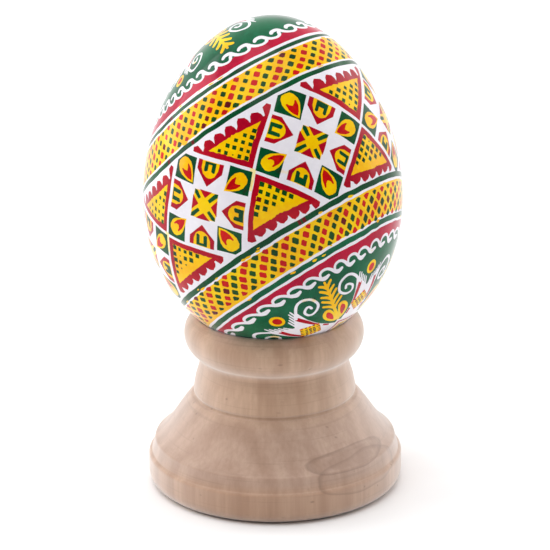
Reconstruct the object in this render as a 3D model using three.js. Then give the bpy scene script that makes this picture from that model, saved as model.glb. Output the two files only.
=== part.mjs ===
// A blown-out pysanka egg standing blunt end down in a turned wooden egg stand.
// Millimetres, +Z up. The origin is the centre of the stand's flat underside, and
// every piece is a solid of revolution about the Z axis through it.

import * as THREE from 'three';

// ---- Driving dimensions -------------------------------------------------------

// Egg: a hen's egg, blunt end down. Its outline is an ellipse skewed towards the blunt end.
const EGG_WIDEST_RADIUS = 22.25;
const EGG_HALF_LENGTH = 28.85;
const EGG_MIDDLE_HEIGHT = 54.7; // above the table, halfway between the egg's two ends
const EGG_SKEW = 0.103; // how much fuller the blunt half is
const EGG_BELLY = -0.021; // how much slimmer both ends are than an ellipse's
const SHELL_THICKNESS = 0.4;
const MEMBRANE_GAP = 0.3;
const MEMBRANE_THICKNESS = 0.15;
const BLOW_HOLE_RADIUS = 1.6; // in the blunt end, where the egg was emptied

// Stand: one turned piece with a foot, a sloped shoulder, a flared skirt, a groove,
// a straight collar, a neck and a round rim, hollowed into a dish for the egg.
const FOOT = { radius: 22.0, lowerRound: 2.4, upperRound: 0.7, height: 5.8 };
const SHOULDER = { radius: 20.8, height: 8.2 };
const SKIRT_TOP = { radius: 14.4, height: 16.0 };
const SKIRT_BOTTOM_PULL = { radius: 18.3, height: 9.7 };
const SKIRT_TOP_PULL = { radius: 16.3, height: 14.4 };
const GROOVE = { radius: 13.8, height: 16.35 };
const COLLAR = { radius: 14.05, height: 16.9 };
const NECK_EDGE = { radius: 13.2, height: 20.8 };
const NECK_PULL = { radius: 12.9, height: 22.0 };
const RIM = { centreRadius: 11.5, centreHeight: 27.25, round: 4.05 };
const RIM_UNDERSIDE_ANGLE = -1.0; // radians from level, round the rim's section
const RIM_LIP_ANGLE = 1.0;
const RIM_PULL = 1.3; // length of the pull that leads the neck smoothly into the rim
const DISH_MOUTH = { radius: 13.2, height: 30.15 };
const DISH_WALL_PULL = { radius: 10.2, height: 26.0 };
const DISH_FLOOR = { pullRadius: 8.0, height: 20.0 };

// Facets round the turned pieces, and steps along each curved stretch of their outlines.
const STAND_FACETS = 44;
const EGG_FACETS = 36;
const STAND_CURVE_STEPS = 6;
const EGG_STEPS = 24;

// ---- Colours and finishes -----------------------------------------------------

const BARE_WOOD = new THREE.MeshStandardMaterial({
  name: 'bare_wood', color: 0xd8bfa6, roughness: 0.75, metalness: 0,
});
const DYED_SHELL = new THREE.MeshStandardMaterial({
  name: 'dyed_shell', color: 0x0c5c38, roughness: 0.2, metalness: 0,
});
const MEMBRANE_SKIN = new THREE.MeshStandardMaterial({
  name: 'membrane_skin', color: 0xf1eadb, roughness: 0.6, metalness: 0,
});

// ---- Shared shapes ------------------------------------------------------------

// A solid of revolution about +Z. The outline of Vector2(radius, height) points runs
// upwards on the outside of the material.
function turned(name, outline, facets, material) {
  const geometry = new THREE.LatheGeometry(outline, facets);
  geometry.rotateX(Math.PI / 2);
  const mesh = new THREE.Mesh(geometry, material);
  mesh.name = name;
  return mesh;
}

// The egg's unscaled half-width at share t of its half-length, from -1 (blunt) to +1.
function eggHalfWidth(t) {
  return Math.sqrt(1 - t * t) * (1 - EGG_SKEW * t + EGG_BELLY * t * t);
}

// The share t at which the egg is widest: a ternary search, because it has one maximum.
function widestShare() {
  let low = -0.5;
  let high = 0.5;
  while (high - low > 1e-6) {
    const third = (high - low) / 3;
    if (eggHalfWidth(low + third) < eggHalfWidth(high - third)) {
      low += third;
    } else {
      high -= third;
    }
  }
  return low;
}

const WIDTH_SCALE = EGG_WIDEST_RADIUS / eggHalfWidth(widestShare());

// ---- The egg ------------------------------------------------------------------

// The egg's outline from the edge of the blow hole up to the tip, with its width and its
// half-length both reduced by depth.
function eggOutline(depth) {
  const widthShare = 1 - depth / EGG_WIDEST_RADIUS;
  const bluntWidth = WIDTH_SCALE * widthShare * (1 + EGG_SKEW + EGG_BELLY);
  const holeAngle = -Math.acos(BLOW_HOLE_RADIUS / bluntWidth);
  const outline = [];
  for (let i = 0; i < EGG_STEPS; i += 1) {
    const share = Math.sin(holeAngle + ((Math.PI / 2 - holeAngle) * i) / EGG_STEPS);
    const radius = WIDTH_SCALE * widthShare * eggHalfWidth(share);
    const height = EGG_MIDDLE_HEIGHT + (EGG_HALF_LENGTH - depth) * share;
    outline.push(new THREE.Vector2(radius, height));
  }
  outline.push(new THREE.Vector2(0, EGG_MIDDLE_HEIGHT + EGG_HALF_LENGTH - depth));
  return outline;
}

// The wall between two depths below the egg's surface, open at the blow hole: down the
// inside from the tip, and back up the outside.
function eggWall(outerDepth, thickness) {
  return [...eggOutline(outerDepth + thickness).reverse(), ...eggOutline(outerDepth)];
}

// ---- The stand ----------------------------------------------------------------

function rimPoint(angle) {
  const radius = RIM.centreRadius + RIM.round * Math.cos(angle);
  const height = RIM.centreHeight + RIM.round * Math.sin(angle);
  return new THREE.Vector2(radius, height);
}

// The stand's outline from the middle of its underside, up the outside, over the lip and
// down the dish to the middle of its floor.
function standOutline() {
  const outline = new THREE.Path();
  const rimStart = rimPoint(RIM_UNDERSIDE_ANGLE);
  const rimStartPull = new THREE.Vector2(
    rimStart.x + RIM_PULL * Math.sin(RIM_UNDERSIDE_ANGLE),
    rimStart.y - RIM_PULL * Math.cos(RIM_UNDERSIDE_ANGLE),
  );
  outline.moveTo(0, 0);
  outline.lineTo(FOOT.radius - FOOT.lowerRound, 0);
  outline.quadraticCurveTo(FOOT.radius, 0, FOOT.radius, FOOT.lowerRound);
  outline.lineTo(FOOT.radius, FOOT.height - FOOT.upperRound);
  outline.lineTo(FOOT.radius - FOOT.upperRound / 2, FOOT.height);
  outline.lineTo(SHOULDER.radius, SHOULDER.height);
  outline.bezierCurveTo(
    SKIRT_BOTTOM_PULL.radius, SKIRT_BOTTOM_PULL.height,
    SKIRT_TOP_PULL.radius, SKIRT_TOP_PULL.height,
    SKIRT_TOP.radius, SKIRT_TOP.height,
  );
  outline.lineTo(GROOVE.radius, GROOVE.height);
  outline.lineTo(COLLAR.radius, COLLAR.height);
  outline.lineTo(NECK_EDGE.radius, NECK_EDGE.height);
  outline.bezierCurveTo(
    NECK_PULL.radius, NECK_PULL.height,
    rimStartPull.x, rimStartPull.y,
    rimStart.x, rimStart.y,
  );
  outline.absarc(
    RIM.centreRadius, RIM.centreHeight, RIM.round,
    RIM_UNDERSIDE_ANGLE, RIM_LIP_ANGLE, false,
  );
  outline.lineTo(DISH_MOUTH.radius, DISH_MOUTH.height);
  outline.bezierCurveTo(
    DISH_WALL_PULL.radius, DISH_WALL_PULL.height,
    DISH_FLOOR.pullRadius, DISH_FLOOR.height,
    0, DISH_FLOOR.height,
  );
  return outline.getPoints(STAND_CURVE_STEPS);
}

// ---- The assembly -------------------------------------------------------------

const egg = new THREE.Group();
egg.add(turned('eggshell', eggWall(0, SHELL_THICKNESS), EGG_FACETS, DYED_SHELL));
egg.add(turned(
  'shell_membrane',
  eggWall(SHELL_THICKNESS + MEMBRANE_GAP, MEMBRANE_THICKNESS),
  EGG_FACETS,
  MEMBRANE_SKIN,
));

const pysanka = new THREE.Group();
pysanka.add(turned('stand', standOutline(), STAND_FACETS, BARE_WOOD));
pysanka.add(egg);

export default pysanka;
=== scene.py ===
"""A blown-out pysanka egg, wax-resist dyed and varnished, standing in its turned wooden stand.

The dyed pattern is real geometry: every outline that the painter waxed is cut into the egg's
surface, and each patch between outlines takes one dye. Lengths are in millimetres until a mesh
is made, which is in metres, in the frame's own coordinates.
"""

import cmath
import math
import random

import bpy
import numpy as np
from mathutils import Matrix, Vector, noise
from mathutils.geometry import delaunay_2d_cdt


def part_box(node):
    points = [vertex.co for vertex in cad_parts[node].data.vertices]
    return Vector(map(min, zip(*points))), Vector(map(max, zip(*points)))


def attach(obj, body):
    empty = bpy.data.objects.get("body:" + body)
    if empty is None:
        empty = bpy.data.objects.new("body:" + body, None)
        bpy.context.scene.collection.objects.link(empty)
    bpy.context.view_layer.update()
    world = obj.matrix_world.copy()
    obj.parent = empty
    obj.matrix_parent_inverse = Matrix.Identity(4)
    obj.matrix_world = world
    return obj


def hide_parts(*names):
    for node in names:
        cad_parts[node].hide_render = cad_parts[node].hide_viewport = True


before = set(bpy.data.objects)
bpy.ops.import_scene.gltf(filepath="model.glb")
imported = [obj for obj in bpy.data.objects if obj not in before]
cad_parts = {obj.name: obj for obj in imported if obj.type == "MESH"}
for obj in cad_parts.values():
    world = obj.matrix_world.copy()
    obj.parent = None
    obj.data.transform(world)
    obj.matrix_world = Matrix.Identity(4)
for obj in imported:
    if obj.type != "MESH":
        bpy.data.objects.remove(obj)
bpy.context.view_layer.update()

MM = 0.001
random_source = random.Random(7)
noise.seed_set(7)  # without this, noise_vector takes its seed from the clock


def vary(low, high):
    """A number from one to the other, different at each call and the same in each run."""
    return random_source.uniform(low, high)


# ---- The egg's shape, as in the CAD ----------------------------------------------

EGG_LOW, EGG_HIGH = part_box("eggshell")
EGG_WIDEST_RADIUS = (EGG_HIGH.x - EGG_LOW.x) / 2 / MM
EGG_HALF_LENGTH = 28.85
EGG_MIDDLE = EGG_HIGH.z / MM - EGG_HALF_LENGTH
EGG_SKEW = 0.103
EGG_BELLY = -0.021
SHELL_THICKNESS = 0.4
BLOW_HOLE_RADIUS = 1.6
WALL_SEGMENTS = 96  # round the hole's edge and the inside of the wall
CENTRE = np.array([0.0, 0.0, EGG_MIDDLE])


def half_width(share):
    """The egg's unscaled half-width at a share of its half-length, -1 at the blunt end."""
    fullness = 1 - EGG_SKEW * share + EGG_BELLY * share**2
    return np.sqrt(np.maximum(0.0, 1 - share**2)) * fullness


WIDTH_SCALE = EGG_WIDEST_RADIUS / half_width(np.linspace(-0.5, 0.5, 2001)).max()


def project(start, direction):
    """Where rays from inside the egg meet its surface, found by halving."""
    near = np.zeros(len(direction))
    far = np.full(len(direction), 40.0)
    for _ in range(40):
        reach = (near + far) / 2
        point = start + reach[:, None] * direction
        share = (point[:, 2] - EGG_MIDDLE) / EGG_HALF_LENGTH
        across = np.hypot(point[:, 0], point[:, 1])
        inside = (np.abs(share) < 1) & (across < WIDTH_SCALE * half_width(share))
        near = np.where(inside, reach, near)
        far = np.where(inside, far, reach)
    return start + near[:, None] * direction


def surface_normals(points):
    """The egg's outward normals at points on it."""
    share = np.clip((points[:, 2] - EGG_MIDDLE) / EGG_HALF_LENGTH, -1, 1)
    fullness = 1 - EGG_SKEW * share + EGG_BELLY * share**2
    change = -EGG_SKEW + 2 * EGG_BELLY * share
    slope = -2 * share * fullness**2 + (1 - share**2) * 2 * fullness * change
    upward = -slope * WIDTH_SCALE**2 / EGG_HALF_LENGTH
    normals = np.column_stack([2 * points[:, 0], 2 * points[:, 1], upward])
    return normals / np.linalg.norm(normals, axis=1)[:, None]


# ---- Flat maps of the shell ------------------------------------------------------

# The painter divided the egg round an axis that leans away from the camera, to the left.
VIEW_ELEVATION = math.radians(20)
AXIS_TILT = math.radians(40)
AXIS_TURN = math.radians(139.4)
AXIS = np.array([
    math.sin(AXIS_TILT) * math.cos(AXIS_TURN),
    math.sin(AXIS_TILT) * math.sin(AXIS_TURN),
    math.cos(AXIS_TILT),
])
TO_CAMERA = np.array([0.0, -math.cos(VIEW_ELEVATION), math.sin(VIEW_ELEVATION)])


def flattened(vector, pole):
    """The unit vector across the pole that is nearest to the given one."""
    across = vector - pole * (vector @ pole)
    return across / np.linalg.norm(across)


FRONT = flattened(TO_CAMERA, AXIS)
SIDE = np.cross(AXIS, FRONT)

BELT_FAN = 0.072  # how far the belt's lines spread apart towards the camera
BELT_TOP = 16.1  # the belt map's edges lie in the plain red bands
BELT_BOTTOM = -17.75
BELT_MAP_RADIUS = 42.0
EDGE_POINTS = 400


def belt_to_shell(turn, rise):
    """Points on the shell at angles round the painter's axis and heights along it."""
    height = rise * (1 + BELT_FAN * np.cos(turn))
    start = CENTRE + height[:, None] * AXIS
    direction = np.cos(turn)[:, None] * FRONT + np.sin(turn)[:, None] * SIDE
    return project(start, direction)


class Belt:
    """The flat map of the belt: a ring, with the upper edge innermost."""

    step = 0.75

    def to_shell(self, places):
        turn = np.arctan2(places[:, 1], places[:, 0])
        rise = BELT_MAP_RADIUS - np.hypot(places[:, 0], places[:, 1])
        return belt_to_shell(turn, rise)

    def place(self, degrees, rise):
        """The map's point for an angle and a height, moved a little as by an unsteady hand."""
        turn = math.radians(degrees)
        drift_turn, drift_rise = unsteady(math.cos(turn) * 22, math.sin(turn) * 22, rise)
        return self.exact(degrees + drift_turn * 2.6, rise + drift_rise)

    def exact(self, degrees, rise):
        turn = math.radians(degrees)
        radius = BELT_MAP_RADIUS - rise
        return (radius * math.cos(turn), radius * math.sin(turn))

    def loose_points(self):
        """Points all over the map, which let the triangles follow the egg's curve."""
        places = []
        rows = round((BELT_TOP - BELT_BOTTOM) / self.step)
        for row in range(1, rows):
            rise = BELT_BOTTOM + (BELT_TOP - BELT_BOTTOM) * row / rows
            around = 180
            for i in range(around):
                places.append(self.exact(360 * (i + row % 2 / 2) / around, rise))
        return places


class Cap:
    """The flat map of one end: degrees from a pole near the painter's, x towards the front."""

    step = 1.9

    def __init__(self, side, lean_right, lean_up, edge_rise):
        self.side = side
        pole = side * AXIS + math.tan(math.radians(lean_right)) * FRONT
        pole = pole + math.tan(math.radians(lean_up)) * side * SIDE
        self.pole = pole / np.linalg.norm(pole)
        self.right = flattened(FRONT, self.pole)
        self.up = np.cross(self.pole, self.right)
        self.edge_rise = edge_rise

    def to_shell(self, places):
        far = np.radians(np.hypot(places[:, 0], places[:, 1]))
        turn = np.arctan2(places[:, 1], places[:, 0])
        across = np.cos(turn)[:, None] * self.right + np.sin(turn)[:, None] * self.up
        direction = np.cos(far)[:, None] * self.pole + np.sin(far)[:, None] * across
        return project(CENTRE[None, :], direction)

    def flatten(self, points):
        """The map's places for points on the shell."""
        direction = points - CENTRE
        direction = direction / np.linalg.norm(direction, axis=1)[:, None]
        far = np.degrees(np.arccos(np.clip(direction @ self.pole, -1, 1)))
        turn = np.arctan2(direction @ self.up, direction @ self.right)
        return np.column_stack([far * np.cos(turn), far * np.sin(turn)])

    def belt_places(self, degrees, rise):
        points = belt_to_shell(np.radians(np.asarray(degrees, float)), np.asarray(rise, float))
        return [tuple(place) for place in self.flatten(points)]

    def edge(self):
        turns = np.arange(EDGE_POINTS) * 360 / EDGE_POINTS
        return self.belt_places(turns, np.full(EDGE_POINTS, self.edge_rise))

    def loose_points(self):
        limit = min(math.hypot(*place) for place in self.edge()) - 0.8
        places = []
        for ring in range(int(limit / self.step) + 1):
            around = max(1, round(2 * math.pi * ring))
            for i in range(around):
                turn = 2 * math.pi * (i + ring % 2 / 2) / around
                far = ring * self.step
                places.append((far * math.cos(turn), far * math.sin(turn)))
        return places


def unsteady(x, y, z):
    """Two small drifts, in millimetres, that vary smoothly over the shell."""
    slow = noise.noise_vector(Vector((x, y, z)) / 9.0)
    quick = noise.noise_vector(Vector((x + 50, y, z)) / 2.2)
    return slow.x * 0.22 + quick.x * 0.10, slow.y * 0.16 + quick.y * 0.08


# ---- Outlines --------------------------------------------------------------------

DEGREE = 0.385  # roughly how many millimetres long a degree of the belt is on the shell


def subdivided(points, step, closed=True, scale=(1.0, 1.0)):
    """The same line with extra points along its straight runs."""
    result = []
    count = len(points) if closed else len(points) - 1
    for i in range(count):
        (x0, y0), (x1, y1) = points[i], points[(i + 1) % len(points)]
        length = math.hypot((x1 - x0) * scale[0], (y1 - y0) * scale[1])
        parts = max(1, math.ceil(length / step))
        result += [(x0 + (x1 - x0) * k / parts, y0 + (y1 - y0) * k / parts) for k in range(parts)]
    if not closed:
        result.append(points[-1])
    return result


def rounded(points, closed=True, per=4):
    """A smooth curve through the points."""
    count = len(points)
    spans = count if closed else count - 1
    result = []
    for i in range(spans):
        if closed:
            a, b, c, d = (points[(i + k) % count] for k in (-1, 0, 1, 2))
        else:
            a, b, c, d = (points[min(max(i + k, 0), count - 1)] for k in (-1, 0, 1, 2))
        for k in range(per):
            t = k / per
            weights = (
                -0.5 * t + t**2 - 0.5 * t**3,
                1 - 2.5 * t**2 + 1.5 * t**3,
                0.5 * t + 2 * t**2 - 1.5 * t**3,
                -0.5 * t**2 + 0.5 * t**3,
            )
            four = list(zip(weights, (a, b, c, d)))
            result.append((sum(w * p[0] for w, p in four), sum(w * p[1] for w, p in four)))
    if not closed:
        result.append(points[-1])
    return result


def mirrored(half):
    """A closed outline from the half of it that lies at x of zero or more, bottom to top."""
    return half + [(-x, y) for x, y in reversed(half) if x > 1e-9]


def stroke(path, widths):
    """The outline of a drawn line, from its centre-line and its width at each point."""
    centre = [complex(*point) for point in path]
    left, right = [], []
    for i, point in enumerate(centre):
        ahead = centre[min(i + 1, len(centre) - 1)] - centre[max(i - 1, 0)]
        across = 1j * ahead / (abs(ahead) or 1) * widths[i] / 2
        left.append(point + across)
        right.append(point - across)
    outline = right + round_end(centre[-1], right[-1]) + left[::-1]
    outline += round_end(centre[0], left[0])
    return [(point.real, point.imag) for point in outline]


def round_end(centre, start):
    """The points of a half circle that leaves the line's end anticlockwise."""
    return [centre + (start - centre) * cmath.exp(1j * math.pi * k / 5) for k in range(1, 5)]


def evenly(values, count):
    """A few values stretched evenly over many places."""
    spots = np.linspace(0, len(values) - 1, count)
    return list(np.interp(spots, range(len(values)), values))


def drawn_line(path, widths, per=4):
    """A smooth pen line through a few points, with a few widths spread along it."""
    smooth = rounded(path, closed=False, per=per)
    return stroke(smooth, evenly(widths, len(smooth)))


def moved(points, x, y, turn=0.0, scale=1.0):
    """The points turned by some degrees, scaled and shifted."""
    spin = cmath.exp(1j * math.radians(turn)) * scale
    placed = [complex(*point) * spin + complex(x, y) for point in points]
    return [(point.real, point.imag) for point in placed]


def signed_area(outline):
    pairs = zip(outline, outline[1:] + outline[:1])
    return sum(x0 * y1 - x1 * y0 for (x0, y0), (x1, y1) in pairs) / 2


class Sheet:
    """A flat map of part of the shell, with dyed outlines painted one over another."""

    def __init__(self, chart):
        self.chart = chart
        self.outlines = []
        self.dyes = []

    def fill(self, outline, dye):
        if signed_area(outline) < 0:
            outline = outline[::-1]
        self.outlines.append(outline)
        self.dyes.append(dye)

    def patches(self):
        """(points on the shell, triangles, the dye of each triangle)."""
        places, faces = [], []
        for outline in self.outlines:
            faces.append(list(range(len(places), len(places) + len(outline))))
            places += outline
        places += self.chart.loose_points()
        flat = [Vector(place) for place in places]
        made = delaunay_2d_cdt(flat, [], faces, 1, 1e-5, True)
        corners, triangles, owners = made[0], made[2], made[5]
        points = self.chart.to_shell(np.array([tuple(corner) for corner in corners]))
        kept = [(tri, self.dyes[max(owner)]) for tri, owner in zip(triangles, owners) if owner]
        kept = [(tri, dye) for tri, dye in kept if dye is not None]
        return points, [tri for tri, _ in kept], [dye for _, dye in kept]


# ---- What is painted round the belt ----------------------------------------------

WHITE, YELLOW, RED, GREEN, MAROON, SCARLET, OLIVE, CREAM, ROSE, TEAL = range(10)

# Where each line round the egg begins, from the lower scroll to the upper: its height along
# the painter's axis, how far it leans up towards the right, and the dye above it.
LINES = [
    (-17.16, 0.42, WHITE), (-16.80, 0.42, TEAL), (-16.05, 0.40, WHITE), (-15.68, 0.36, YELLOW),
    (-11.29, 0.25, WHITE), (-10.91, 0.25, GREEN), (-10.06, 0.20, WHITE),
    (8.37, 0.0, GREEN), (9.14, 0.0, WHITE), (9.47, 0.0, YELLOW),
    (13.97, 0.08, WHITE), (14.34, 0.10, GREEN), (14.97, 0.10, WHITE), (15.45, 0.10, ROSE),
]

# The star squares stand on their corners and meet at crossings, so that one zigzag of white
# lines goes up and down round the egg. Heights along the axis of the zigzag's turns:
FIELD_TOP = 9.7
FIELD_BOTTOM = -11.25
# (degrees round the axis, height) of the crossings in front, and of the middles between them.
FRONT_CROSSINGS = [(-61.2, -0.65), (-5.7, -0.55), (49.0, -1.4)]
FRONT_MIDDLES = [(-33.4, -0.6), (21.85, -1.0)]
STARS_BEHIND = 5


class BeltSheet(Sheet):
    """The belt's map, painted in degrees round the axis and millimetres along it."""

    def __init__(self):
        super().__init__(Belt())
        self.rings = 0

    def paint(self, outline, dye, step=0.6):
        fine = subdivided(outline, step, scale=(DEGREE, 1.0))
        self.fill([self.chart.place(*point) for point in fine], dye)

    def ring(self, rise, dye, lean=0.0, steady=False):
        """Everything above a height."""
        self.rings += 1
        places = []
        for i in range(EDGE_POINTS):
            degrees = 360 * i / EDGE_POINTS
            if steady:
                places.append(self.chart.exact(degrees, rise))
            else:
                turn = math.radians(degrees)
                spot = Vector((math.cos(turn) * 7, math.sin(turn) * 7, self.rings * 3.7))
                waver = noise.noise(spot) * 0.07 + lean * math.sin(turn)
                places.append(self.chart.place(degrees, rise + waver))
        self.fill(places, dye)


def zigzag():
    """(degrees, height) of every crossing and every star's middle round the belt, in order."""
    crossings, middles = list(FRONT_CROSSINGS), list(FRONT_MIDDLES)
    start, start_rise = crossings[-1]
    end_rise = crossings[0][1]
    width = (360 + crossings[0][0] - start) / STARS_BEHIND
    for k in range(STARS_BEHIND):
        for share, kept in ((k + 0.5, middles), (k + 1, crossings)):
            rise = start_rise + (end_rise - start_rise) * share / STARS_BEHIND
            kept.append((start + width * share, rise))
    return crossings, middles


def pattern_figure(middle, before, after):
    """A figure's middle, and the way from it to its right, top, left and bottom corners."""
    degrees, rise = middle
    right = (after[0] - degrees, after[1] - rise)
    left = (before[0] - degrees, before[1] - rise)
    return middle, right, (0, FIELD_TOP - rise), left, (0, FIELD_BOTTOM - rise)


def on_star(figure, points):
    """From a figure's own units, in which each corner is 1 away, to the belt's."""
    (degrees, rise), right, top, left, bottom = figure
    placed = []
    for across, along in points:
        sideways = right if across > 0 else left
        upward = top if along > 0 else bottom
        x = degrees + abs(across) * sideways[0] + abs(along) * upward[0]
        y = rise + abs(across) * sideways[1] + abs(along) * upward[1]
        placed.append((x, y))
    return placed


def quarter_turned(points, quarter):
    """Points given for the top of a star square, for its right, bottom or left."""
    for _ in range(quarter):
        points = [(y, -x) for x, y in points]
    return points


def paint_star(sheet, figure):
    for quarter in range(4):
        paint_corner(sheet, figure, quarter)
        paint_house(sheet, figure, quarter)
    paint_star_heart(sheet, figure)


def paint_corner(sheet, figure, quarter):
    """A green diamond with a yellow leaf on it, and a red heart in the leaf."""
    clipped = quarter % 2 == 0
    if clipped:
        cut = 0.83 if quarter == 0 else 0.86
        spread = vary(0.265, 0.30)
        diamond = [(0, 0.36), (spread, 0.655), (0.655 + spread - cut, cut)]
    else:
        diamond = [(0, 0.45), (0.265, 0.715), (0, 0.975)]
    tip, end, fullness = (0.39, 0.81, 1.0) if clipped else (0.425, 0.85, 0.87)

    def in_leaf(half):
        stretched = [(x * fullness, tip + y * (end - tip)) for x, y in half]
        return on_star(figure, quarter_turned(mirrored(stretched), quarter))

    side = 0.143 * vary(0.93, 1.07)
    leaf = [
        (0, 0), (0.07, 0.2), (side * 0.93, 0.5), (side, 0.68), (side * 0.8, 0.88), (0.07, 0.98), (0, 1),
    ]
    ear = vary(0.70, 0.78)
    heart = [
        (0, 0.10), (0.05, 0.24), (0.086, 0.44), (0.09, ear - 0.06), (0.066, ear - 0.05), (0.045, 0.58),
        (0, vary(0.48, 0.55)),
    ]
    sheet.paint(on_star(figure, quarter_turned(mirrored(diamond), quarter)), GREEN)
    sheet.paint(in_leaf(leaf), YELLOW, step=0.4)
    sheet.paint(in_leaf(heart), SCARLET, step=0.4)


def across_square(points, quarter):
    """Points given as (along a side, outward), for each of the square's sides in turn."""
    turned_points = quarter_turned(points, quarter)
    return [((x - y) / 2, (x + y) / 2) for x, y in turned_points]


def paint_house(sheet, figure, quarter):
    """A red house on the side of the square, with a yellow door and a green arch in it."""
    peak = vary(0.40, 0.44)
    side = vary(0.295, 0.32)
    house = [(side, 0.95), (side, 0.74), (0, peak)]
    door = [(0.21, 0.95), (0.205, 0.78), (0.15, 0.655), (0.07, 0.60), (0, 0.585)]
    bar_in, bar_out = 0.05 * vary(0.8, 1.2), 0.135
    start, join = vary(0.66, 0.71), vary(0.76, 0.92)
    arch = [
        (bar_out, 0.935), (bar_out, start + 0.02), (0.1, start), (bar_in, start + 0.03), (bar_in, join),
    ]
    for half, dye in ((house, RED), (door, YELLOW), (arch, GREEN)):
        sheet.paint(on_star(figure, across_square(mirrored(half), quarter)), dye, step=0.4)


def paint_star_heart(sheet, figure):
    """The small yellow diamond in the middle, with red on its sides and green on its arms."""
    corners = [(0, 0.29), (0.315, 0), (0, -0.29), (-0.315, 0)]
    sheet.paint(on_star(figure, corners), YELLOW)
    for quarter in range(4):
        spread = vary(0.15, 0.19)
        patch = [(spread, 0.315), (0.0, vary(0.13, 0.17)), (-spread, 0.315)]
        sheet.paint(on_star(figure, across_square(patch, quarter)), RED, step=0.4)
        tip = 0.29 if quarter % 2 == 0 else 0.315
        bar = mirrored([(0.026, vary(0.10, 0.13)), (0.034, tip - 0.045), (0, tip)])
        sheet.paint(on_star(figure, quarter_turned(bar, quarter)), GREEN, step=0.4)


# The triangles' teeth and dots, in a figure's own units. A tooth is (pitches across, share of its height).
TOOTH_PITCH = 0.218
UPPER_TOOTH = [
    (-0.47, 0.0), (-0.42, 0.4), (-0.28, 0.76), (-0.04, 0.9), (0.14, 1.0), (0.33, 0.7), (0.42, 0.3),
]
LOWER_TOOTH = [
    (-0.48, 0.0), (-0.42, 0.4), (-0.24, 0.74), (-0.06, 0.84), (0.14, 1.0), (0.34, 0.7), (0.42, 0.3),
]
DOT_ROWS = 5
DOT_PITCH = 0.0815
DOT_SIZE = 0.045
TINY_SHARE = 0.05  # of the dots are tiny
MAROON_SHARE = 0.04  # of the dots are maroon


def paint_triangle(sheet, figure, up):
    """The toothed red triangle over or under a crossing, with green dots on yellow."""
    flip = 1 if up else -1
    tooth = UPPER_TOOTH if up else LOWER_TOOTH
    inner_edge, foot, tip = (0.635, 0.682, 0.815) if up else (0.70, 0.768, 0.855)
    right_end = [
        (0, 0.044), (0.716, 0.76), (0.738, 0.79), (0.69, 0.838), (0.605, tip), (0.57, foot),
    ]
    outline = list(right_end)
    for k in (2, 1, 0, -1, -2):
        tall = (tip - foot) * vary(0.82, 1.1)
        shift = vary(-0.04, 0.04)
        outline += [(k * TOOTH_PITCH - (x + shift) * TOOTH_PITCH, foot + y * tall) for x, y in tooth]
    outline += [(-x, y) for x, y in reversed(right_end[1:])]
    sheet.paint(on_star(figure, [(x, flip * y) for x, y in outline]), RED, step=0.4)
    spread = inner_edge - 0.163
    yellow = wavering([(0, 0.168), (spread, inner_edge), (-spread, inner_edge)], 0.007)
    sheet.paint(on_star(figure, [(x, flip * y) for x, y in yellow]), YELLOW, step=0.4)
    size = 0.98 if up else 1.14
    for row in range(DOT_ROWS):
        for k in range(row + 1):
            across, along = (2 * k - row) * DOT_PITCH, 0.222 + row * DOT_PITCH
            paint_dot(sheet, figure, across, flip * along, size)


def paint_dot(sheet, figure, x, y, scale):
    """A small square dot, on its corner, sometimes tiny or maroon."""
    luck = random_source.random()
    size = DOT_SIZE * scale * vary(0.82, 1.1)
    if luck < TINY_SHARE:
        size *= 0.4
    x += vary(-0.006, 0.006)
    y += vary(-0.006, 0.006)
    lean = vary(0.85, 1.15)
    dot = [(x + size * lean, y), (x, y + size), (x - size, y), (x, y - size * lean)]
    overdyed = TINY_SHARE <= luck < TINY_SHARE + MAROON_SHARE
    sheet.paint(on_star(figure, dot), MAROON if overdyed else OLIVE)


def wavering(outline, size):
    """An outline whose edge wavers, as where dye crept under the wax."""
    fine = subdivided(outline, 0.035)
    shifts = [random_source.gauss(0, size) for _ in fine]
    middle_x = sum(x for x, _ in fine) / len(fine)
    middle_y = sum(y for _, y in fine) / len(fine)
    result = []
    for (x, y), shift in zip(fine, shifts):
        far = math.hypot(x - middle_x, y - middle_y)
        result.append((x + (x - middle_x) / far * shift, y + (y - middle_y) / far * shift))
    return result


def paint_lattice(sheet, low, high, rows, first, around, row_shift, tall, wide):
    """Rows of red and green diamonds on yellow, in slanting lines of one dye.

    They lie between two heights. first is where row one begins, and each row starts row_shift
    degrees before the last.
    """
    spacing = 360 / around
    pitch = rows[0] - rows[1]
    for number, rise in enumerate(rows):
        for k in range(around):
            degrees = first + spacing * k - row_shift * number
            dye = SCARLET if k % 2 else OLIVE
            if dye == SCARLET and noise.noise(Vector((k * 0.37, rise, 3.0))) > 0.42:
                dye = MAROON
            size = vary(0.86, 1.16) * (1.06 if dye == SCARLET else 1.0)
            x = degrees + vary(-0.25, 0.25)
            y = rise + vary(-0.05, 0.05)
            half_x = wide / 2 * size / DEGREE
            half_y = tall / 2 * size
            lean = vary(-0.12, 0.12) * half_x
            dot = [
                (x - half_x, y), (x - half_x * 0.25 + lean, y - half_y * 0.85),
                (x + half_x * 0.25 + lean, y - half_y * 0.85), (x + half_x, y),
                (x + half_x * 0.25 - lean, y + half_y * 0.85),
                (x - half_x * 0.25 - lean, y + half_y * 0.85),
            ]
            dot = [(px, min(max(py, low), high)) for px, py in dot]
            if abs(signed_area(dot)) * DEGREE > 0.08 * pitch:
                sheet.paint(dot, dye)


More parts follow.
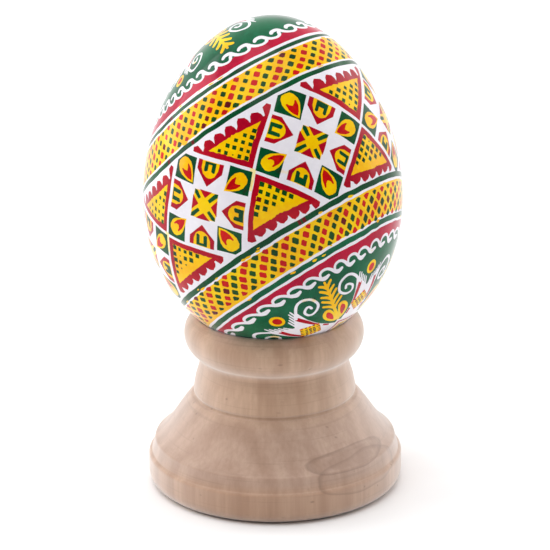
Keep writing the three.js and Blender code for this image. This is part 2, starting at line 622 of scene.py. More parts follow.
def paint_bleeds(sheet):
    """Small places where yellow crept over a line, and where red shows in a green one."""
    for rise in (15.2, 14.15, 9.35, -10.75, -11.1, -15.7, -16.4):
        for _ in range(9):
            degrees = vary(0, 360)
            length = vary(1.2, 4.5)
            blob = [(-1, 0), (-0.4, -0.9), (0.3, -1), (1, 0.1), (0.2, 0.8), (-0.5, 1)]
            tall = vary(0.10, 0.20)
            outline = [(degrees + x * length / 2, rise + y * tall) for x, y in blob]
            sheet.paint(rounded(outline, per=2), YELLOW)
    for rise, half in ((-10.48, 0.36), (14.65, 0.3), (8.75, 0.3)):
        for _ in range(4):
            degrees = vary(0, 360)
            length = vary(1.6, 3.0)
            outline = [(-1, -1), (0.8, -1), (1, 1), (-0.8, 1)]
            sheet.paint([(degrees + x * length / 2, rise + y * half) for x, y in outline], MAROON)


UPPER_LATTICE = {
    "low": 9.49, "high": 13.94, "rows": [13.62, 12.59, 11.57, 10.63, 9.79],
    "first": 2.0, "around": 62, "row_shift": 2.9, "tall": 1.10, "wide": 1.24,
}
LOWER_LATTICE = {
    "low": -15.60, "high": -11.34, "rows": [-11.55, -12.52, -13.49, -14.46, -15.40],
    "first": -3.0, "around": 56, "row_shift": 3.2, "tall": 1.22, "wide": 1.44,
}


def painted_belt():
    sheet = BeltSheet()
    sheet.ring(BELT_BOTTOM, ROSE, steady=True)
    for rise, lean, dye in LINES:
        sheet.ring(rise, dye, lean)
    paint_lattice(sheet, **UPPER_LATTICE)
    paint_lattice(sheet, **LOWER_LATTICE)
    crossings, middles = zigzag()
    for number, middle in enumerate(middles):
        figure = pattern_figure(middle, crossings[number], crossings[number + 1])
        if number % 3 == 0:
            stain = [(1.04, 0.0), (0.98, 0.08), (0.78, -0.20), (0.80, -0.23)]
            sheet.paint(on_star(figure, stain), CREAM)
        paint_star(sheet, figure)
    first, last = middles[0], middles[-1]
    middles = [(last[0] - 360, last[1]), *middles, (first[0] + 360, first[1])]
    for number, crossing in enumerate(crossings[:-1]):
        figure = pattern_figure(crossing, middles[number], middles[number + 1])
        paint_triangle(sheet, figure, True)
        paint_triangle(sheet, figure, False)
    paint_bleeds(sheet)
    sheet.ring(BELT_TOP, None, steady=True)
    return sheet


# ---- What is painted on the two ends ---------------------------------------------


CAP_DEGREE = 0.44  # roughly how many millimetres long a degree of an end's map is


class Scroll:
    """A running-dog border: one curl's line, where it lies and how often it comes."""

    def __init__(self, count, trough, top, lean, path, widths, border):
        self.count = count
        self.lean = lean
        self.trough = trough
        self.top = top
        self.path = path
        self.widths = widths
        self.border = border

    def on_cap(self, cap, points, start):
        """The cap's places for points given as (curls along, share of the way to the top)."""
        degrees, rises = [], []
        for x, y in points:
            turn = (start + x) * 360 / self.count
            rise = self.trough + (self.top - self.trough) * y
            angle = math.radians(turn)
            drift_turn, drift_rise = unsteady(math.cos(angle) * 18, math.sin(angle) * 18, rise)
            degrees.append(turn + drift_turn * 3.5)
            rises.append(rise + drift_rise + self.lean * math.sin(angle))
        return cap.belt_places(degrees, rises)

    def paint(self, sheet):
        cap = sheet.chart
        line = []
        for k in range(self.count):
            line += [(k + x, y) for x, y in rounded(self.border, closed=False, per=3)[:-1]]
        sheet.fill(self.on_cap(cap, line, 0), TEAL)
        for k in range(self.count):
            stretch = vary(0.93, 1.06)
            smooth = rounded([(x * stretch, y) for x, y in self.path], closed=False, per=4)
            widths = [width / CAP_DEGREE for width in evenly(self.widths, len(smooth))]
            sheet.fill(stroke(self.on_cap(cap, smooth, k), widths), WHITE)


UPPER_SCROLL = Scroll(
    count=42, trough=16.76, top=18.12, lean=0.1,
    path=[(0.02, 0.78), (0.14, 0.95), (0.34, 1.0), (0.50, 0.90), (0.60, 0.62), (0.70, 0.38),
          (0.84, 0.17), (1.0, 0.05), (1.16, 0.0), (1.32, 0.06), (1.43, 0.22), (1.50, 0.5)],
    widths=[0.60, 0.66, 0.68, 0.68, 0.68, 0.62, 0.52, 0.46, 0.44, 0.46, 0.56, 0.66],
    border=[(0.56, 0.24), (0.70, 0.30), (0.84, 0.15), (1.0, 0.04), (1.16, 0.0), (1.32, 0.05),
            (1.44, 0.16), (1.56, 0.24)],
)

LOWER_SCROLL = Scroll(
    count=29, trough=-18.2, top=-19.3, lean=0.25,
    path=[(-1.52, 0.62), (-1.46, 0.3), (-1.33, 0.08), (-1.1, 0.0), (-0.88, 0.14), (-0.70, 0.45),
          (-0.52, 0.82), (-0.30, 1.0), (0.0, 0.88)],
    widths=[0.46, 0.52, 0.54, 0.56, 0.56, 0.62, 0.80, 0.94, 0.62],
    border=[(-0.56, 0.5), (-0.46, 0.24), (-0.33, 0.05), (-0.1, 0.0), (0.12, 0.12), (0.28, 0.42),
            (0.44, 0.5)],
)


class CapSheet(Sheet):
    """An end's map, painted in degrees from its pole."""

    def __init__(self, chart, turn, scale):
        super().__init__(chart)
        self.turn = turn
        self.scale = scale

    def paint(self, outline, dye, angle):
        """Paint an outline given for a figure that points along +x, turned to an angle."""
        fine = subdivided(outline, 1.4)
        places = []
        for x, y in moved(fine, 0, 0, angle + self.turn, self.scale):
            drift_x, drift_y = unsteady(x * 0.45, y * 0.45, self.chart.side * 20)
            places.append((x + drift_x * 1.8, y + drift_y * 1.8))
        self.fill(places, dye)


SPIRAL = [
    (27.2, 6.6), (29.4, 9.2), (30.6, 12.2), (29.7, 14.9), (26.6, 16.7), (22.7, 15.6), (21.3, 12.8),
    (21.4, 10.0), (22.9, 8.7), (25.1, 9.4), (25.9, 11.6), (25.3, 13.0), (23.9, 12.6),
]


def paint_arm(sheet, angle, breadth, ringed):
    """A white swallow-tailed arm with red stripes, a chequered square and two spirals."""
    for side in (breadth, -breadth):
        def paint(points, dye):
            sheet.paint([(u, v * side) for u, v in points], dye, angle)

        paint([(4, 0), (4, 4.2), (14, 4.9), (22, 6.3), (27.5, 8.0), (28.5, 6.6), (23, 0)], WHITE)
        paint(drawn_line(SPIRAL, [1.2, 1.25, 1.2, 1.15, 1.1, 1.25]), WHITE)
        paint([(15.0, 3.9), (26.2, 4.1), (25.8, 6.1), (21, 5.8), (15.2, 4.9)], RED)
        paint([(9, 3.4), (12.2, 3.5), (12.4, 4.6), (9.4, 4.4)], RED)
        for k in range(5):
            along = (k + 0.4) / 4.6
            u, v = 23.2 + along * 4.4, 0.5 + along * 6.2
            length = vary(3.2, 4.1)
            tooth = drawn_line([(u - 0.6, v - 0.1), (u + length, v + 0.9)], [0.85, 0.6], per=1)
            paint(tooth, WHITE)
    paint_chequers(sheet, angle)
    if ringed:
        ring = [(31.6 + 3.2 * math.cos(t), 3.0 * math.sin(t)) for t in full_turn(20)]
        core = [(31.5 + 2.0 * math.cos(t), 1.8 * math.sin(t)) for t in full_turn(12)]
        sheet.paint(ring, YELLOW, angle)
        sheet.paint(core, SCARLET, angle)


def full_turn(steps):
    return [2 * math.pi * k / steps for k in range(steps)]


def square_of(half):
    return [(half, half), (-half, half), (-half, -half), (half, -half)]


def paint_chequers(sheet, angle):
    """A yellow square on the arm with rows of small dots and a red edge."""
    middle, half = 15.2, 3.8

    def paint(points, dye):
        sheet.paint(moved(points, middle, 0, 45), dye, angle)

    paint([(-half, -half), (half, -half), (half, half), (-half, half)], YELLOW)
    for quarter in range(4):
        for k in range(5):
            along = (k - 2) * 1.5
            deep = vary(1.3, 1.9)
            tick = [(along - 0.52, half), (along + 0.52, half), (along + 0.1, half - deep)]
            paint(quarter_turned(tick, quarter), MAROON if k % 2 else SCARLET)
    for row in (-1.4, 0, 1.4):
        for k in (-1.4, 0, 1.4):
            square = square_of(vary(0.42, 0.56))
            paint([(k + x, row + y) for x, y in square], MAROON if row else GREEN)


def paint_branch(sheet, angle, needles, thick):
    """A yellow sprig with needles, and two yellow buds with red hearts at its foot."""
    def paint(points, dye):
        sheet.paint(points, dye, angle)

    stem = [(9.5, 0), (20, 0.15), (29, -0.1), (35.6, 0)]
    paint(drawn_line(stem, [1.5, 1.3, 1.2, 1.1], per=5), YELLOW)
    for k in range(needles):
        u = 19.4 + 12.8 * k / (needles - 1)
        length = 5.6 - 2.2 * k / needles
        for side in (1, -1):
            bend = vary(-0.3, 0.3)
            knee = (u + length * 0.38, side * length * 0.30)
            tip = (u + length * 0.72 + bend, side * length * 0.74)
            widths = [1.3 * thick, 1.2 * thick, 1.0 * thick]
            paint(drawn_line([(u, 0), knee, tip], widths, per=3), YELLOW)
    for side in (1, -1):
        bud = [(9.6, 1.0), (12, 3.7), (15.5, 5.3), (18.6, 5.2), (20.3, 3.6), (19.2, 1.6), (14, 0.6)]
        heart = [(11.6, 1.9), (14.5, 3.9), (17.2, 4.1), (18.6, 3.2), (17, 2.0), (14, 1.5)]
        paint(rounded([(u, v * side) for u, v in bud], per=3), YELLOW)
        paint(rounded([(u, v * side) for u, v in heart], per=3), SCARLET)


def paint_middle(sheet):
    """The small framed square where the arms meet."""
    for half, dye in ((6.2, WHITE), (4.9, RED), (3.9, WHITE), (3.0, YELLOW), (1.5, GREEN)):
        sheet.paint(square_of(half), dye, 0)


def painted_end(chart, scroll, turn, scale, branch_turn, needles, thick, breadth, bare_arm=None):
    """An end with four sprigs and four arms of a breadth, one of which may have no ring."""
    sheet = CapSheet(chart, turn, scale)
    sheet.fill(chart.edge(), ROSE)
    scroll.paint(sheet)
    for k in range(4):
        paint_branch(sheet, branch_turn + 90 * k, needles, thick)
    for k in range(4):
        paint_arm(sheet, 90 * k, breadth, k != bare_arm)
    paint_middle(sheet)
    return sheet


# ---- Meshes ----------------------------------------------------------------------


def mesh_object(name, points, faces, normals=None):
    """A smooth-shaded object from points in millimetres."""
    mesh = bpy.data.meshes.new(name)
    mesh.from_pydata([tuple(point) for point in np.asarray(points) * MM], [], faces)
    mesh.polygons.foreach_set("use_smooth", [True] * len(mesh.polygons))
    if normals is not None:
        mesh.normals_split_custom_set_from_vertices([tuple(normal) for normal in normals])
    made = bpy.data.objects.new(name, mesh)
    bpy.context.scene.collection.objects.link(made)
    return made


def lathe(profile, segments):
    """Points and faces of a profile of (radius, height) turned about the z axis."""
    points, faces, rings = [], [], []
    for radius, height in profile:
        if radius < 1e-6:
            rings.append([len(points)] * segments)
            points.append((0, 0, height))
            continue
        rings.append(list(range(len(points), len(points) + segments)))
        for k in range(segments):
            turn = 2 * math.pi * k / segments
            points.append((radius * math.cos(turn), radius * math.sin(turn), height))
    for lower, upper in zip(rings, rings[1:]):
        for k in range(segments):
            after = (k + 1) % segments
            face = [lower[k], lower[after], upper[after], upper[k]]
            faces.append(list(dict.fromkeys(face)))
    return points, faces


def blow_hole_height():
    """The height of the hole's edge on the outside of the blunt end."""
    shares = np.linspace(-1.0, -0.9, 4001)
    share = np.interp(BLOW_HOLE_RADIUS, WIDTH_SCALE * half_width(shares), shares)
    return EGG_MIDDLE + EGG_HALF_LENGTH * float(share)


def cut_blow_hole(sheet):
    """Leave a round patch of the lower end without shell, where the egg was emptied."""
    turns = [2 * math.pi * k / WALL_SEGMENTS for k in range(WALL_SEGMENTS)]
    height = blow_hole_height()
    edge = np.array([
        (BLOW_HOLE_RADIUS * math.cos(turn), BLOW_HOLE_RADIUS * math.sin(turn), height) for turn in turns
    ])
    sheet.fill([tuple(place) for place in sheet.chart.flatten(edge)], None)


def shell_wall_inside():
    """The inside of the wall, from the rim of the blow hole up to the top of the shell."""
    depth = SHELL_THICKNESS
    inner_half = EGG_HALF_LENGTH - depth
    profile = [(BLOW_HOLE_RADIUS, blow_hole_height())]
    for k in range(61):
        turn = math.pi * (k / 60)
        share = -math.cos(turn)
        radius = (WIDTH_SCALE - depth) * float(half_width(np.array(share)))
        if share < 0 and radius < BLOW_HOLE_RADIUS:
            continue
        profile.append((radius if k < 60 else 0.0, EGG_MIDDLE + inner_half * share))
    points, faces = lathe(profile, WALL_SEGMENTS)
    return points, [face[::-1] for face in faces]


def build_shell(dyes):
    """The painted shell: the three maps joined into one surface, and the wall's inside."""
    sheets = [
        painted_belt(),
        painted_end(
            Cap(side=1, lean_right=8.5, lean_up=6.0, edge_rise=BELT_TOP), UPPER_SCROLL,
            turn=49, scale=0.87, branch_turn=-40, needles=4, thick=1.5, breadth=0.78, bare_arm=0,
        ),
        painted_end(
            Cap(side=-1, lean_right=-7.3, lean_up=5.2, edge_rise=BELT_BOTTOM), LOWER_SCROLL,
            turn=43.5, scale=1.0, branch_turn=-46.5, needles=5, thick=1.15, breadth=1.0,
        ),
    ]
    cut_blow_hole(sheets[-1])
    points, faces, colours = [], [], []
    for sheet in sheets:
        new_points, new_faces, new_colours = sheet.patches()
        faces += [[corner + len(points) for corner in face] for face in new_faces]
        points += list(new_points)
        colours += new_colours
    points = np.array(points)
    outward = surface_normals(points)
    inner_points, inner_faces = shell_wall_inside()
    inner_normals = -surface_normals(np.array(inner_points) + 1e-9)
    faces += [[corner + len(points) for corner in face] for face in inner_faces]
    colours += [WHITE] * len(inner_faces)
    every_point = np.vstack([points, inner_points])
    shell = mesh_object("painted_shell", every_point, faces, np.vstack([outward, inner_normals]))
    for dye in dyes:
        shell.data.materials.append(dye)
    shell.data.polygons.foreach_set("material_index", colours)
    return shell


# ---- The turned stand ------------------------------------------------------------


def arc(centre, radius, start, end, steps):
    """Points on an arc given as (radius, height), with angles in radians from level."""
    return [
        (centre[0] + radius * math.cos(a), centre[1] + radius * math.sin(a))
        for a in np.linspace(start, end, steps)
    ]


def bezier(points, steps):
    """Points on a Bezier curve, without its first."""
    result = []
    for k in range(1, steps + 1):
        row = [np.array(point, float) for point in points]
        while len(row) > 1:
            row = [a + (b - a) * k / steps for a, b in zip(row, row[1:])]
        result.append(tuple(row[0]))
    return result


# The stand's outline, as (radius, height), with the CAD's dimensions. A pull is a point that a
# curve bends towards.
FOOT_RADIUS = 22.0
FOOT_LOWER_ROUND = 2.4
FOOT_UPPER_ROUND = 0.7
FOOT_HEIGHT = 5.8
SHOULDER = (20.8, 8.2)
SKIRT_PULLS = [(18.3, 9.7), (16.3, 14.4)]
SKIRT_TOP = (14.4, 16.0)
GROOVE = [(13.95, 16.15), (13.8, 16.35), (13.85, 16.6)]
COLLAR = (14.05, 16.9)
COLLAR_PULL = (13.9, 18.8)
NECK_EDGE = (13.2, 20.8)
NECK_PULL = (12.9, 22.0)
RIM_CENTRE = (11.5, 27.25)
RIM_ROUND = 4.05
RIM_UNDERSIDE_ANGLE = -1.0  # radians from level, round the rim's section
RIM_LIP_ANGLE = 1.08
RIM_PULL = 1.3
DISH_PULLS = [(13.2, 30.15), (10.2, 26.0), (8.0, 20.0)]
DISH_FLOOR = (0.0, 20.0)


def stand_profile():
    """The stand's outline from the middle of its base, up the outside and down into the dish."""
    foot_low = (FOOT_RADIUS - FOOT_LOWER_ROUND, FOOT_LOWER_ROUND)
    foot_high = (FOOT_RADIUS - FOOT_UPPER_ROUND, FOOT_HEIGHT - FOOT_UPPER_ROUND)
    rim = arc(RIM_CENTRE, RIM_ROUND, RIM_UNDERSIDE_ANGLE, RIM_LIP_ANGLE, 26)
    rim_pull = (
        rim[0][0] + RIM_PULL * math.sin(RIM_UNDERSIDE_ANGLE),
        rim[0][1] - RIM_PULL * math.cos(RIM_UNDERSIDE_ANGLE),
    )
    profile = [(0.0, 0.0), (8.0, 0.0), (16.0, 0.0)]
    profile += arc(foot_low, FOOT_LOWER_ROUND, -math.pi / 2, 0, 7)
    profile += arc(foot_high, FOOT_UPPER_ROUND, 0, math.pi * 0.42, 7)
    profile += [SHOULDER]
    profile += bezier([SHOULDER, *SKIRT_PULLS, SKIRT_TOP], 22)
    profile += [*GROOVE, COLLAR]
    profile += bezier([COLLAR, COLLAR_PULL, NECK_EDGE], 8)
    profile += bezier([NECK_EDGE, NECK_PULL, rim_pull, rim[0]], 12)
    profile += rim[1:]
    profile += bezier([rim[-1], *DISH_PULLS, DISH_FLOOR], 26)
    profile[-1] = DISH_FLOOR
    return profile


def build_stand():
    profile = subdivided(stand_profile(), 0.35, closed=False)
    worn = []
    for radius, height in profile:
        ridge = 0.012 * noise.noise(Vector((radius * 1.7, height * 3.1, 0.5)))
        worn.append((max(0.0, radius + ridge * min(1.0, radius)), height))
    worn[0] = (0.0, 0.0)
    worn[-1] = (0.0, worn[-1][1])
    points, faces = lathe(worn, 224)
    return mesh_object("turned_stand", points, faces)


# ---- Materials -------------------------------------------------------------------


class Nodes:
    """A short way to write a material's node tree."""

    def __init__(self, name):
        self.material = bpy.data.materials.new(name)
        self.material.use_nodes = True
        self.tree = self.material.node_tree
        self.shader = self.tree.nodes["Principled BSDF"]
        self.place = self.tree.nodes.new("ShaderNodeTexCoord").outputs["Object"]

    def give(self, socket, value):
        """Link a socket to another, or set it to a value."""
        if isinstance(value, bpy.types.NodeSocket):
            self.tree.links.new(value, socket)
        else:
            socket.default_value = value

    def new(self, kind, values, **settings):
        node = self.tree.nodes.new("ShaderNode" + kind)
        for name, value in settings.items():
            setattr(node, name, value)
        for name, value in values.items():
            self.give(node.inputs[name], value)
        return node

    def shaded(self, values):
        """The material, once its shader's sockets have their values."""
        for name, value in values.items():
            self.give(self.shader.inputs[name], value)
        return self.material

    def stretched(self, scale, location=(0, 0, 0), turn=(0, 0, 0)):
        """The object's coordinates, moved, turned and scaled."""
        values = {"Vector": self.place, "Scale": scale, "Location": location, "Rotation": turn}
        return self.new("Mapping", values).outputs["Vector"]

    def noise(self, scale, detail=3.0, rough=0.5, place=None, distortion=0.0):
        """A noise, by default in object space, with features about 1/scale metres across."""
        values = {
            "Vector": place or self.place, "Scale": scale, "Detail": detail,
            "Roughness": rough, "Distortion": distortion,
        }
        return self.new("TexNoise", values).outputs["Fac"]

    def spread(self, value, low, high, to_low=0.0, to_high=1.0):
        """A value's range stretched to another range, and clamped."""
        values = {
            "Value": value, "From Min": low, "From Max": high, "To Min": to_low, "To Max": to_high,
        }
        return self.new("MapRange", values, clamp=True).outputs["Result"]

    def math(self, operation, a, b):
        node = self.new("Math", {0: a, 1: b}, operation=operation)
        return node.outputs["Value"]

    def mix(self, amount, a, b, blend="MIX"):
        node = self.tree.nodes.new("ShaderNodeMix")
        node.data_type = "RGBA"
        node.blend_type = blend
        sockets = {s.identifier: s for s in node.inputs}
        for key, value in (("Factor_Float", amount), ("A_Color", a), ("B_Color", b)):
            self.give(sockets[key], value)
        return next(s for s in node.outputs if s.identifier == "Result_Color")

    def tinted(self, tone, value, low, high, strength, colour):
        """The tone, taken towards a colour as a value goes from low to high."""
        return self.mix(self.spread(value, low, high, 0.0, strength), tone, linear(*colour))

    def bump(self, height, strength, distance):
        values = {"Height": height, "Strength": strength, "Distance": distance}
        return self.new("Bump", values).outputs["Normal"]


def linear(red, green, blue):
    """A colour given as 0-255 sRGB, for a node."""
    def channel(value):
        value /= 255
        return value / 12.92 if value <= 0.04045 else ((value + 0.055) / 1.055) ** 2.4

    return (channel(red), channel(green), channel(blue), 1.0)


def dye_material(name, colour, pale, deep, blot=None, rarity=None):
    """A dye on eggshell under varnish: uneven strength, small specks and soft pits."""
    nodes = Nodes(name)
    broad = nodes.noise(190, 3, 0.55)
    fine = nodes.noise(1500, 3, 0.6)
    tone = nodes.tinted(linear(*deep), broad, 0.40, 0.62, 1.0, colour)
    tone = nodes.tinted(tone, fine, 0.50, 0.72, 0.55, pale)
    if blot:
        patch = nodes.noise(260, 2, 0.5, nodes.stretched((1, 1, 1), (0.31, 0.17, 0.05)))
        tone = nodes.tinted(tone, patch, rarity, rarity + 0.05, 0.85, blot)
    pores = nodes.new("TexVoronoi", {"Vector": nodes.place, "Scale": 2600}).outputs["Distance"]
    pits = nodes.math("ADD", nodes.spread(pores, 0.0, 0.35), nodes.noise(700, 2, 0.5))
    return nodes.shaded({
        "Base Color": tone,
        "Normal": nodes.bump(pits, 0.12, 0.00003),
        "Coat Normal": nodes.bump(nodes.noise(320, 2, 0.5), 0.25, 0.00004),
        "Roughness": nodes.spread(fine, 0.3, 0.7, 0.38, 0.5),
        "Specular IOR Level": 0.0,
        "Coat Weight": 1.0,
        "Coat Roughness": 0.10,
        "Coat IOR": 1.24,
        "Sheen Weight": 0.7,
        "Sheen Roughness": 0.25,
    })


# Each dye, in the order of their numbers: its name, its colour, where it is pale, where it is
# deep, and for most a blot of another colour and how rare the blots are.
DYES = [
    ("bare_shell_white", (236, 232, 238), (241, 238, 242), (230, 226, 234), (246, 214, 130), 0.70),
    ("yellow_dye", (246, 203, 0), (248, 212, 4), (243, 180, 0), (224, 204, 6), 0.66),
    ("crimson_dye", (178, 6, 30), (196, 12, 34), (160, 2, 34), (128, 4, 40), 0.69),
    ("green_dye", (4, 78, 40), (10, 94, 54), (1, 62, 34), (34, 48, 30), 0.67),
    ("maroon_overdye", (106, 12, 18), (128, 22, 22), (84, 8, 18)),
    ("scarlet_over_yellow", (204, 14, 10), (220, 34, 10), (178, 6, 16), (150, 10, 20), 0.68),
    ("olive_over_yellow", (16, 74, 22), (34, 88, 20), (6, 58, 22), (40, 44, 12), 0.66),
    ("cream_tint", (248, 234, 178), (248, 238, 206), (246, 224, 140)),
    ("rose_band_dye", (186, 2, 52), (204, 8, 60), (166, 0, 46), (150, 0, 44), 0.69),
    ("teal_band_dye", (2, 96, 60), (6, 108, 72), (0, 80, 50), (20, 62, 40), 0.70),
]


# The eye-shaped figures in the stand's grain: (centre, turn, size) in metres, then the fill as
# (where it starts to fade, its edge, strength, colour) and the line round it as (start, darkest,
# end, strength).
GRAIN_EYES = [
    (
        ((0.0150, -0.0140, 0.0068), (0.0, -0.05, 0.0), (0.0095, 0.010, 0.0030)),
        (0.40, 1.0, 0.22, (158, 124, 100)), (0.86, 0.99, 1.04, 0.35),
    ),
    (
        ((0.0125, -0.0135, 0.0094), (0.0, 0.0, 0.0), (0.0080, 0.0095, 0.0016)),
        (0.55, 1.0, 0.40, (150, 116, 94)), (0.80, 0.98, 1.06, 0.4),
    ),
]


def grain_eye(nodes, centre, turn, size):
    """Distance from an eye-shaped figure in the grain, 1 at its edge, with sizes in metres."""
    values = {"Vector": nodes.place, "Location": centre, "Rotation": turn, "Scale": size}
    inside = nodes.new("Mapping", values, vector_type="TEXTURE").outputs["Vector"]
    reach = nodes.new("VectorMath", {0: inside}, operation="LENGTH").outputs["Value"]
    ragged = nodes.noise(150, 2, 0.5, nodes.stretched((0.6, 0.6, 1.6)))
    return nodes.math("ADD", reach, nodes.spread(ragged, 0.3, 0.7, -0.12, 0.12))


def painted_light_by_height(nodes):
    """Painted light and shade by height: the foot browner and darker in painted shade, the upward-facing
    skirt greyer as a painted reflection of the light above, the rest lightest as painted light.
    """
    height = nodes.new("SeparateXYZ", {"Vector": nodes.place}).outputs["Z"]
    ramp = nodes.new("ValToRGB", {"Fac": nodes.spread(height, 0.0, 0.020)})
    # Painted shade on the foot, a painted reflection of the light above on the skirt, painted light at the
    # top.
    stops = [
        (0.0, (0.81, 0.71, 0.63)), (0.27, (0.85, 0.76, 0.69)), (0.36, (0.83, 0.79, 0.80)),
        (0.72, (0.87, 0.84, 0.85)), (0.84, (0.97, 0.93, 0.88)),
    ]
    elements = ramp.color_ramp.elements
    while len(elements) < len(stops):
        elements.new(0.5)
    for element, (position, tint) in zip(elements, stops):
        element.position = position
        element.color = (*tint, 1.0)
    return ramp.outputs["Color"]


def wood_material():
    """Pale fine-grained hardwood, turned and left bare: rings, fibres, flecks and tool lines, with painted
    light and shade by height.
    """
    nodes = Nodes("bare_turned_wood")
    swirl = nodes.noise(38, 3, 0.5)
    ringed = nodes.new("TexWave", {
        "Vector": nodes.stretched((1, 1, 0.16), (0.017, 0.031, 0.0), (0.10, -0.16, 0.0)),
        "Scale": 74, "Distortion": 3.2, "Detail": 2.5, "Detail Scale": 1.3, "Detail Roughness": 0.6,
    }, wave_type="RINGS", rings_direction="Z", wave_profile="SIN").outputs["Fac"]
    fibres = nodes.noise(1500, 4, 0.65, nodes.stretched((1, 1, 0.045)))
    streaks = nodes.noise(300, 3, 0.6, nodes.stretched((1, 1, 0.08)))
    tone = nodes.tinted(linear(205, 172, 147), ringed, 0.15, 1.0, 1.0, (189, 154, 128))
    tone = nodes.tinted(tone, swirl, 0.35, 0.68, 0.5, (214, 187, 167))
    tone = nodes.tinted(tone, streaks, 0.42, 0.66, 0.4, (172, 137, 111))
    tone = nodes.tinted(tone, fibres, 0.35, 0.7, 0.3, (160, 124, 98))
    for place, (fade, edge, strength, colour), (start, peak, end, darkness) in GRAIN_EYES:
        eye = grain_eye(nodes, *place)
        tone = nodes.mix(nodes.spread(eye, fade, edge, strength, 0.0), tone, linear(*colour))
        inner, outer = nodes.spread(eye, start, peak), nodes.spread(eye, peak, end, 1.0, 0.0)
        line = nodes.math("MULTIPLY", nodes.math("MULTIPLY", inner, outer), darkness)
        tone = nodes.mix(line, tone, linear(120, 88, 68))
    slanted = nodes.stretched((0.35, 1, 0.9), turn=(0, 0.3, 0))
    flecks = nodes.new("TexVoronoi", {"Vector": slanted, "Scale": 700})
    fleck = nodes.spread(flecks.outputs["Distance"], 0.02, 0.16, 1.0, 0.0)
    rare = nodes.spread(nodes.noise(160, 2, 0.5), 0.50, 0.56)
    fleck = nodes.math("MULTIPLY", fleck, rare)
    tone = nodes.mix(nodes.math("MULTIPLY", fleck, 0.6), tone, linear(118, 86, 66))
    tool_lines = nodes.noise(2400, 2, 0.5, nodes.stretched((0.02, 0.02, 1)))
    tone = nodes.tinted(tone, tool_lines, 0.58, 0.74, 0.24, (140, 108, 86))
    # Multiply in the painted light and shade by height: a darker, browner foot, a greyer skirt and the
    # lightest top.
    tone = nodes.mix(1.0, tone, painted_light_by_height(nodes), blend="MULTIPLY")
    height = nodes.math("ADD", nodes.math("MULTIPLY", fibres, 0.7), nodes.math("MULTIPLY", tool_lines, 0.4))
    height = nodes.math("SUBTRACT", height, fleck)
    return nodes.shaded({
        "Base Color": tone,
        "Normal": nodes.bump(height, 0.35, 0.00006),
        "Roughness": nodes.spread(fibres, 0.3, 0.7, 0.62, 0.78),
        "Specular IOR Level": 0.25,
        "Sheen Weight": 0.95,
        "Sheen Roughness": 0.55,
    })


def membrane_material():
    """The dried skin inside a blown egg: papery, cream and slightly wrinkled."""
    nodes = Nodes("dried_membrane")
    creases = nodes.noise(900, 4, 0.65, distortion=0.6)
    return nodes.shaded({
        "Base Color": nodes.tinted(linear(226, 214, 190), creases, 0.35, 0.65, 1.0, (241, 235, 220)),
        "Normal": nodes.bump(creases, 0.4, 0.0001),
        "Roughness": 0.7,
    })


def floor_material():
    nodes = Nodes("pale_floor")
    grain = nodes.noise(60, 2, 0.5)
    return nodes.shaded({
        "Base Color": nodes.tinted(linear(244, 244, 245), grain, 0.3, 0.7, 1.0, (247, 247, 248)),
        "Roughness": 0.8,
        "Specular IOR Level": 0.2,
    })


# ---- Camera, lights and floor ----------------------------------------------------

CAMERA_DISTANCE = 700.0
CAMERA_AIM = Vector((0.254, 0.0, 37.5))
CAMERA_ROLL = math.radians(-0.54)
CAMERA_LENS = 266.46
CAMERA_SENSOR = 36.0

# Each soft light: its place and width in metres, and its power in watts.
LIGHTS = {
    "overhead_softbox": ((-0.15, -0.25, 0.9), 0.8, 4.4),
    "left_softbox": ((-0.9, 0.28, 0.4), 0.7, 3.6),
    "right_softbox": ((0.88, 0.45, 0.35), 0.7, 2.3),
}
FLOOR_HALF = 3000.0


def build_camera():
    data = bpy.data.cameras.new("camera")
    data.lens = CAMERA_LENS
    data.sensor_width = CAMERA_SENSOR
    data.dof.use_dof = False
    data.clip_start = 0.01
    data.clip_end = 20.0
    camera = bpy.data.objects.new("camera", data)
    away = Vector(tuple(TO_CAMERA)) * CAMERA_DISTANCE
    tilt = Matrix.Rotation(math.pi / 2 - VIEW_ELEVATION, 4, "X")
    facing = tilt @ Matrix.Rotation(CAMERA_ROLL, 4, "Z")
    camera.matrix_world = Matrix.Translation((CAMERA_AIM + away) * MM) @ facing
    bpy.context.scene.collection.objects.link(camera)
    bpy.context.scene.camera = camera


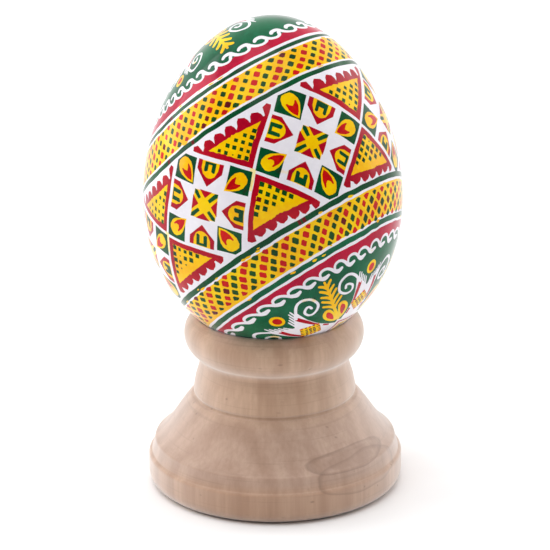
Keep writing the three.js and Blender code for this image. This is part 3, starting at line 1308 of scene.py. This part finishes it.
def soft_light(name, place, width, power):
    """A square area light aimed at the egg, with its place in metres."""
    data = bpy.data.lights.new(name, "AREA")
    data.shape = "SQUARE"
    data.size = width
    data.energy = power
    light = bpy.data.objects.new(name, data)
    aim = Vector((0, 0, EGG_MIDDLE * MM)) - Vector(place)
    facing = aim.to_track_quat("-Z", "Y").to_matrix().to_4x4()
    light.matrix_world = Matrix.Translation(place) @ facing
    bpy.context.scene.collection.objects.link(light)


def build_world():
    """White surroundings, brightest behind the object, so that its edges fade to white."""
    world = bpy.data.worlds.new("white_studio")
    world.use_nodes = True
    tree = world.node_tree
    background = tree.nodes["Background"]
    direction = tree.nodes.new("ShaderNodeTexCoord").outputs["Generated"]
    parts = tree.nodes.new("ShaderNodeSeparateXYZ")
    tree.links.new(direction, parts.inputs["Vector"])
    level = tree.nodes.new("ShaderNodeMapRange")
    level.interpolation_type = "SMOOTHSTEP"
    tree.links.new(parts.outputs["Y"], level.inputs["Value"])
    for socket, value in (("From Min", -0.75), ("From Max", 0.35), ("To Min", 0.10), ("To Max", 1.35)):
        level.inputs[socket].default_value = value
    background.inputs["Color"].default_value = (1, 1, 1, 1)
    tree.links.new(level.outputs["Result"], background.inputs["Strength"])
    bpy.context.scene.world = world
    bpy.context.scene.view_settings.view_transform = "Standard"


def build_stage():
    build_world()
    for name, (place, width, power) in LIGHTS.items():
        soft_light(name, place, width, power)
    half = FLOOR_HALF
    corners = [(-half, -half, 0), (half, -half, 0), (half, half, 0), (-half, half, 0)]
    floor = mesh_object("floor", corners, [[0, 1, 2, 3]])
    floor.data.materials.append(floor_material())


# ---- The scene -------------------------------------------------------------------


def main():
    build_camera()
    build_stage()

    shell = build_shell([dye_material(*dye) for dye in DYES])
    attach(shell, "egg")
    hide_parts("eggshell")

    stand = build_stand()
    stand.data.materials.append(wood_material())
    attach(stand, "stand")
    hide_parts("stand")

    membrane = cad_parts["shell_membrane"]
    membrane.data.materials.clear()
    membrane.data.materials.append(membrane_material())


main()
